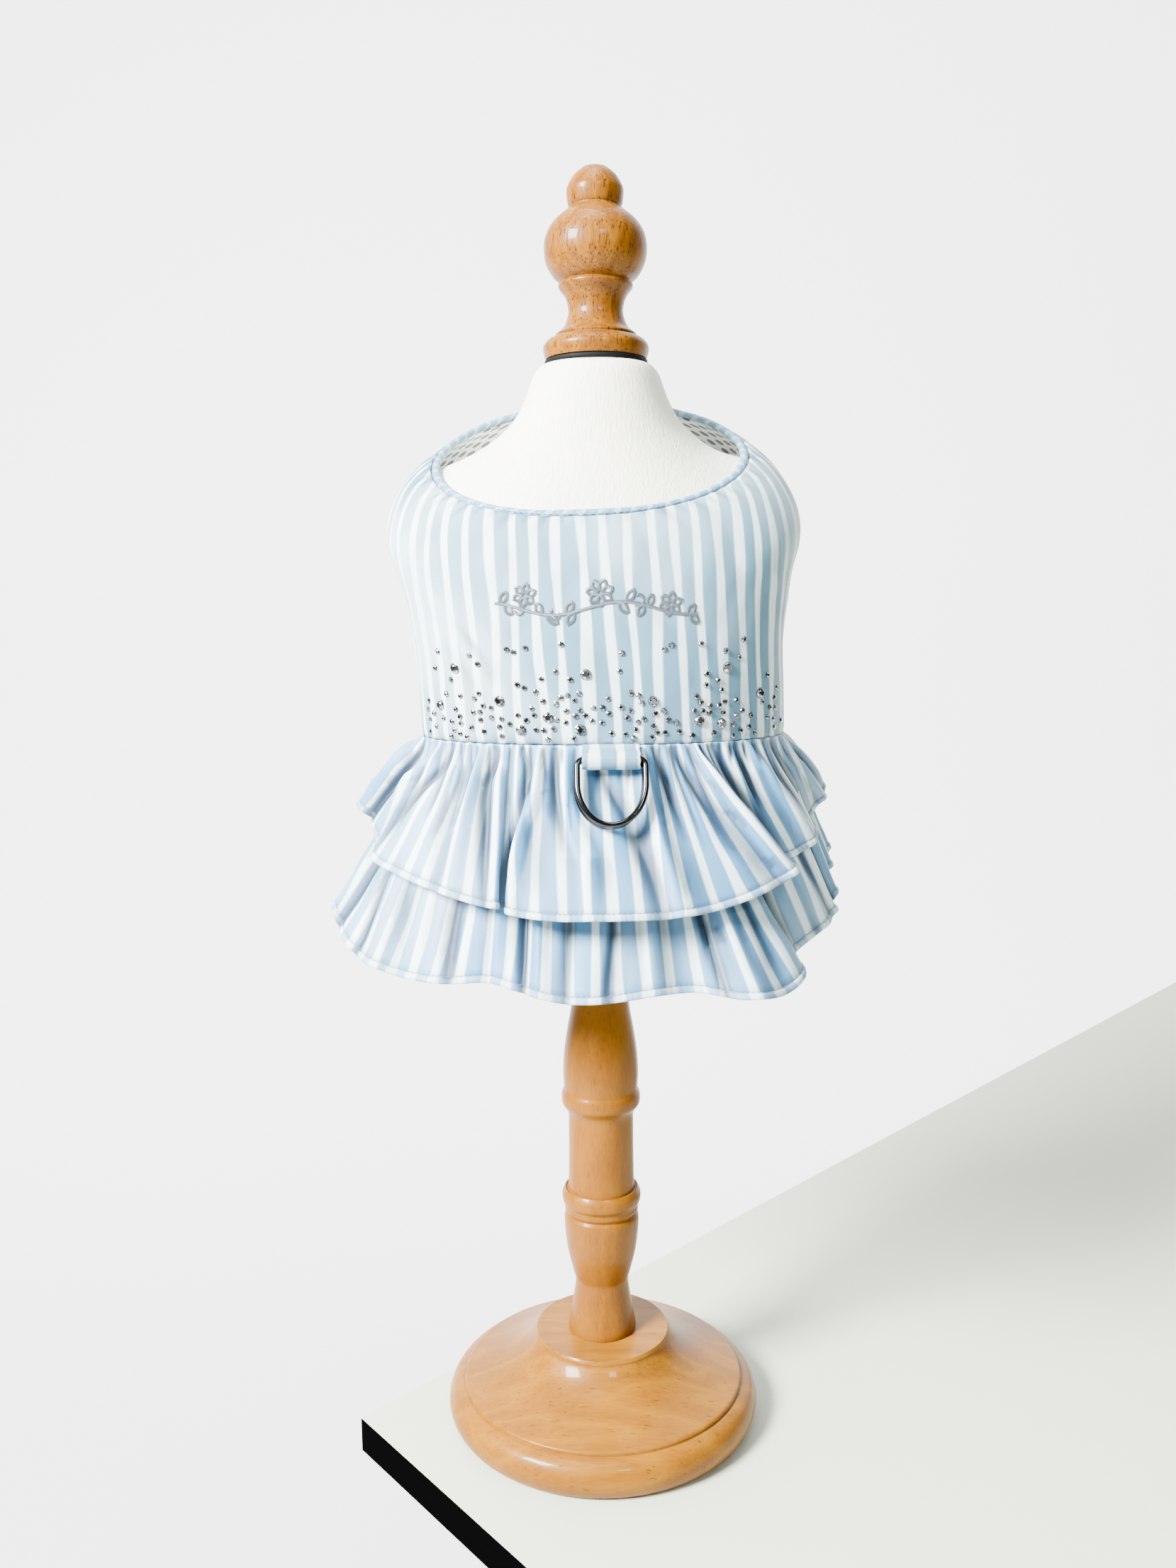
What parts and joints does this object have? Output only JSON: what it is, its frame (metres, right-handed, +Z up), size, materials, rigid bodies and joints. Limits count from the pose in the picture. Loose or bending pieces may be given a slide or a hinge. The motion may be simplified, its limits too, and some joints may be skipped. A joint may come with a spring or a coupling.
{
  "type": "dog dress on a display stand",
  "caption": "Small dog's dress with a striped sleeveless bodice, two gathered skirt tiers and leash rings, on a neck bust with a turned wooden stand.",
  "frame": {"origin": "centre of the underside of the stand's base, on the surface it stands on", "axes": "+Z up along the stand; the dress turns its back with the leash rings to -Y; +X is to the right in that view"},
  "size_m": [0.2295, 0.1584, 0.5673],
  "materials": {
    "wood": "honey oak under gloss varnish",
    "plate": "matte black",
    "canvas": "off-white plain cloth with a fine upright weave",
    "stripe_cloth": "light blue and white striped satin cotton",
    "mesh_lining": "white knitted air mesh",
    "binding": "bias strip of the striped cotton",
    "gunmetal": "polished dark nickel",
    "crystal": "foil-backed cut glass"
  },
  "bodies": {
    "root": {"stand_base": "wood", "stand_pole": "wood", "finial": "wood", "neck_plate": "plate", "bust_form": "canvas", "bodice": "stripe_cloth", "lining": "mesh_lining", "neck_binding": "binding", "leg_binding_left": "binding", "leg_binding_right": "binding", "belly_strip": "binding", "skirt_upper": "stripe_cloth", "skirt_lower": "stripe_cloth", "ring_loop": "stripe_cloth", "stone_01": "crystal", "stone_02": "crystal", "stone_03": "crystal", "stone_04": "crystal", "stone_05": "crystal", "stone_06": "crystal", "stone_07": "crystal", "stone_08": "crystal", "stone_09": "crystal", "stone_10": "crystal", "stone_11": "crystal", "stone_12": "crystal", "stone_13": "crystal", "stone_14": "crystal", "stone_15": "crystal", "stone_16": "crystal", "stone_17": "crystal", "stone_18": "crystal", "stone_19": "crystal", "stone_20": "crystal", "stone_21": "crystal", "stone_22": "crystal", "stone_23": "crystal", "stone_24": "crystal", "stone_25": "crystal", "stone_26": "crystal", "stone_27": "crystal", "stone_28": "crystal", "stone_29": "crystal", "stone_30": "crystal", "stone_31": "crystal", "stone_32": "crystal", "stone_33": "crystal", "stone_34": "crystal", "stone_35": "crystal", "stone_36": "crystal"},
    "rings": {"d_ring_front": "gunmetal", "d_ring_back": "gunmetal"}
  },
  "joints": [
    {"name": "d_ring_swing", "type": "hinge", "parent": "root", "child": "rings", "pos_m": [0.0045, -0.06439, 0.32063], "axis": [-1, 0, 0], "range_deg": [0, 150]}
  ]
}
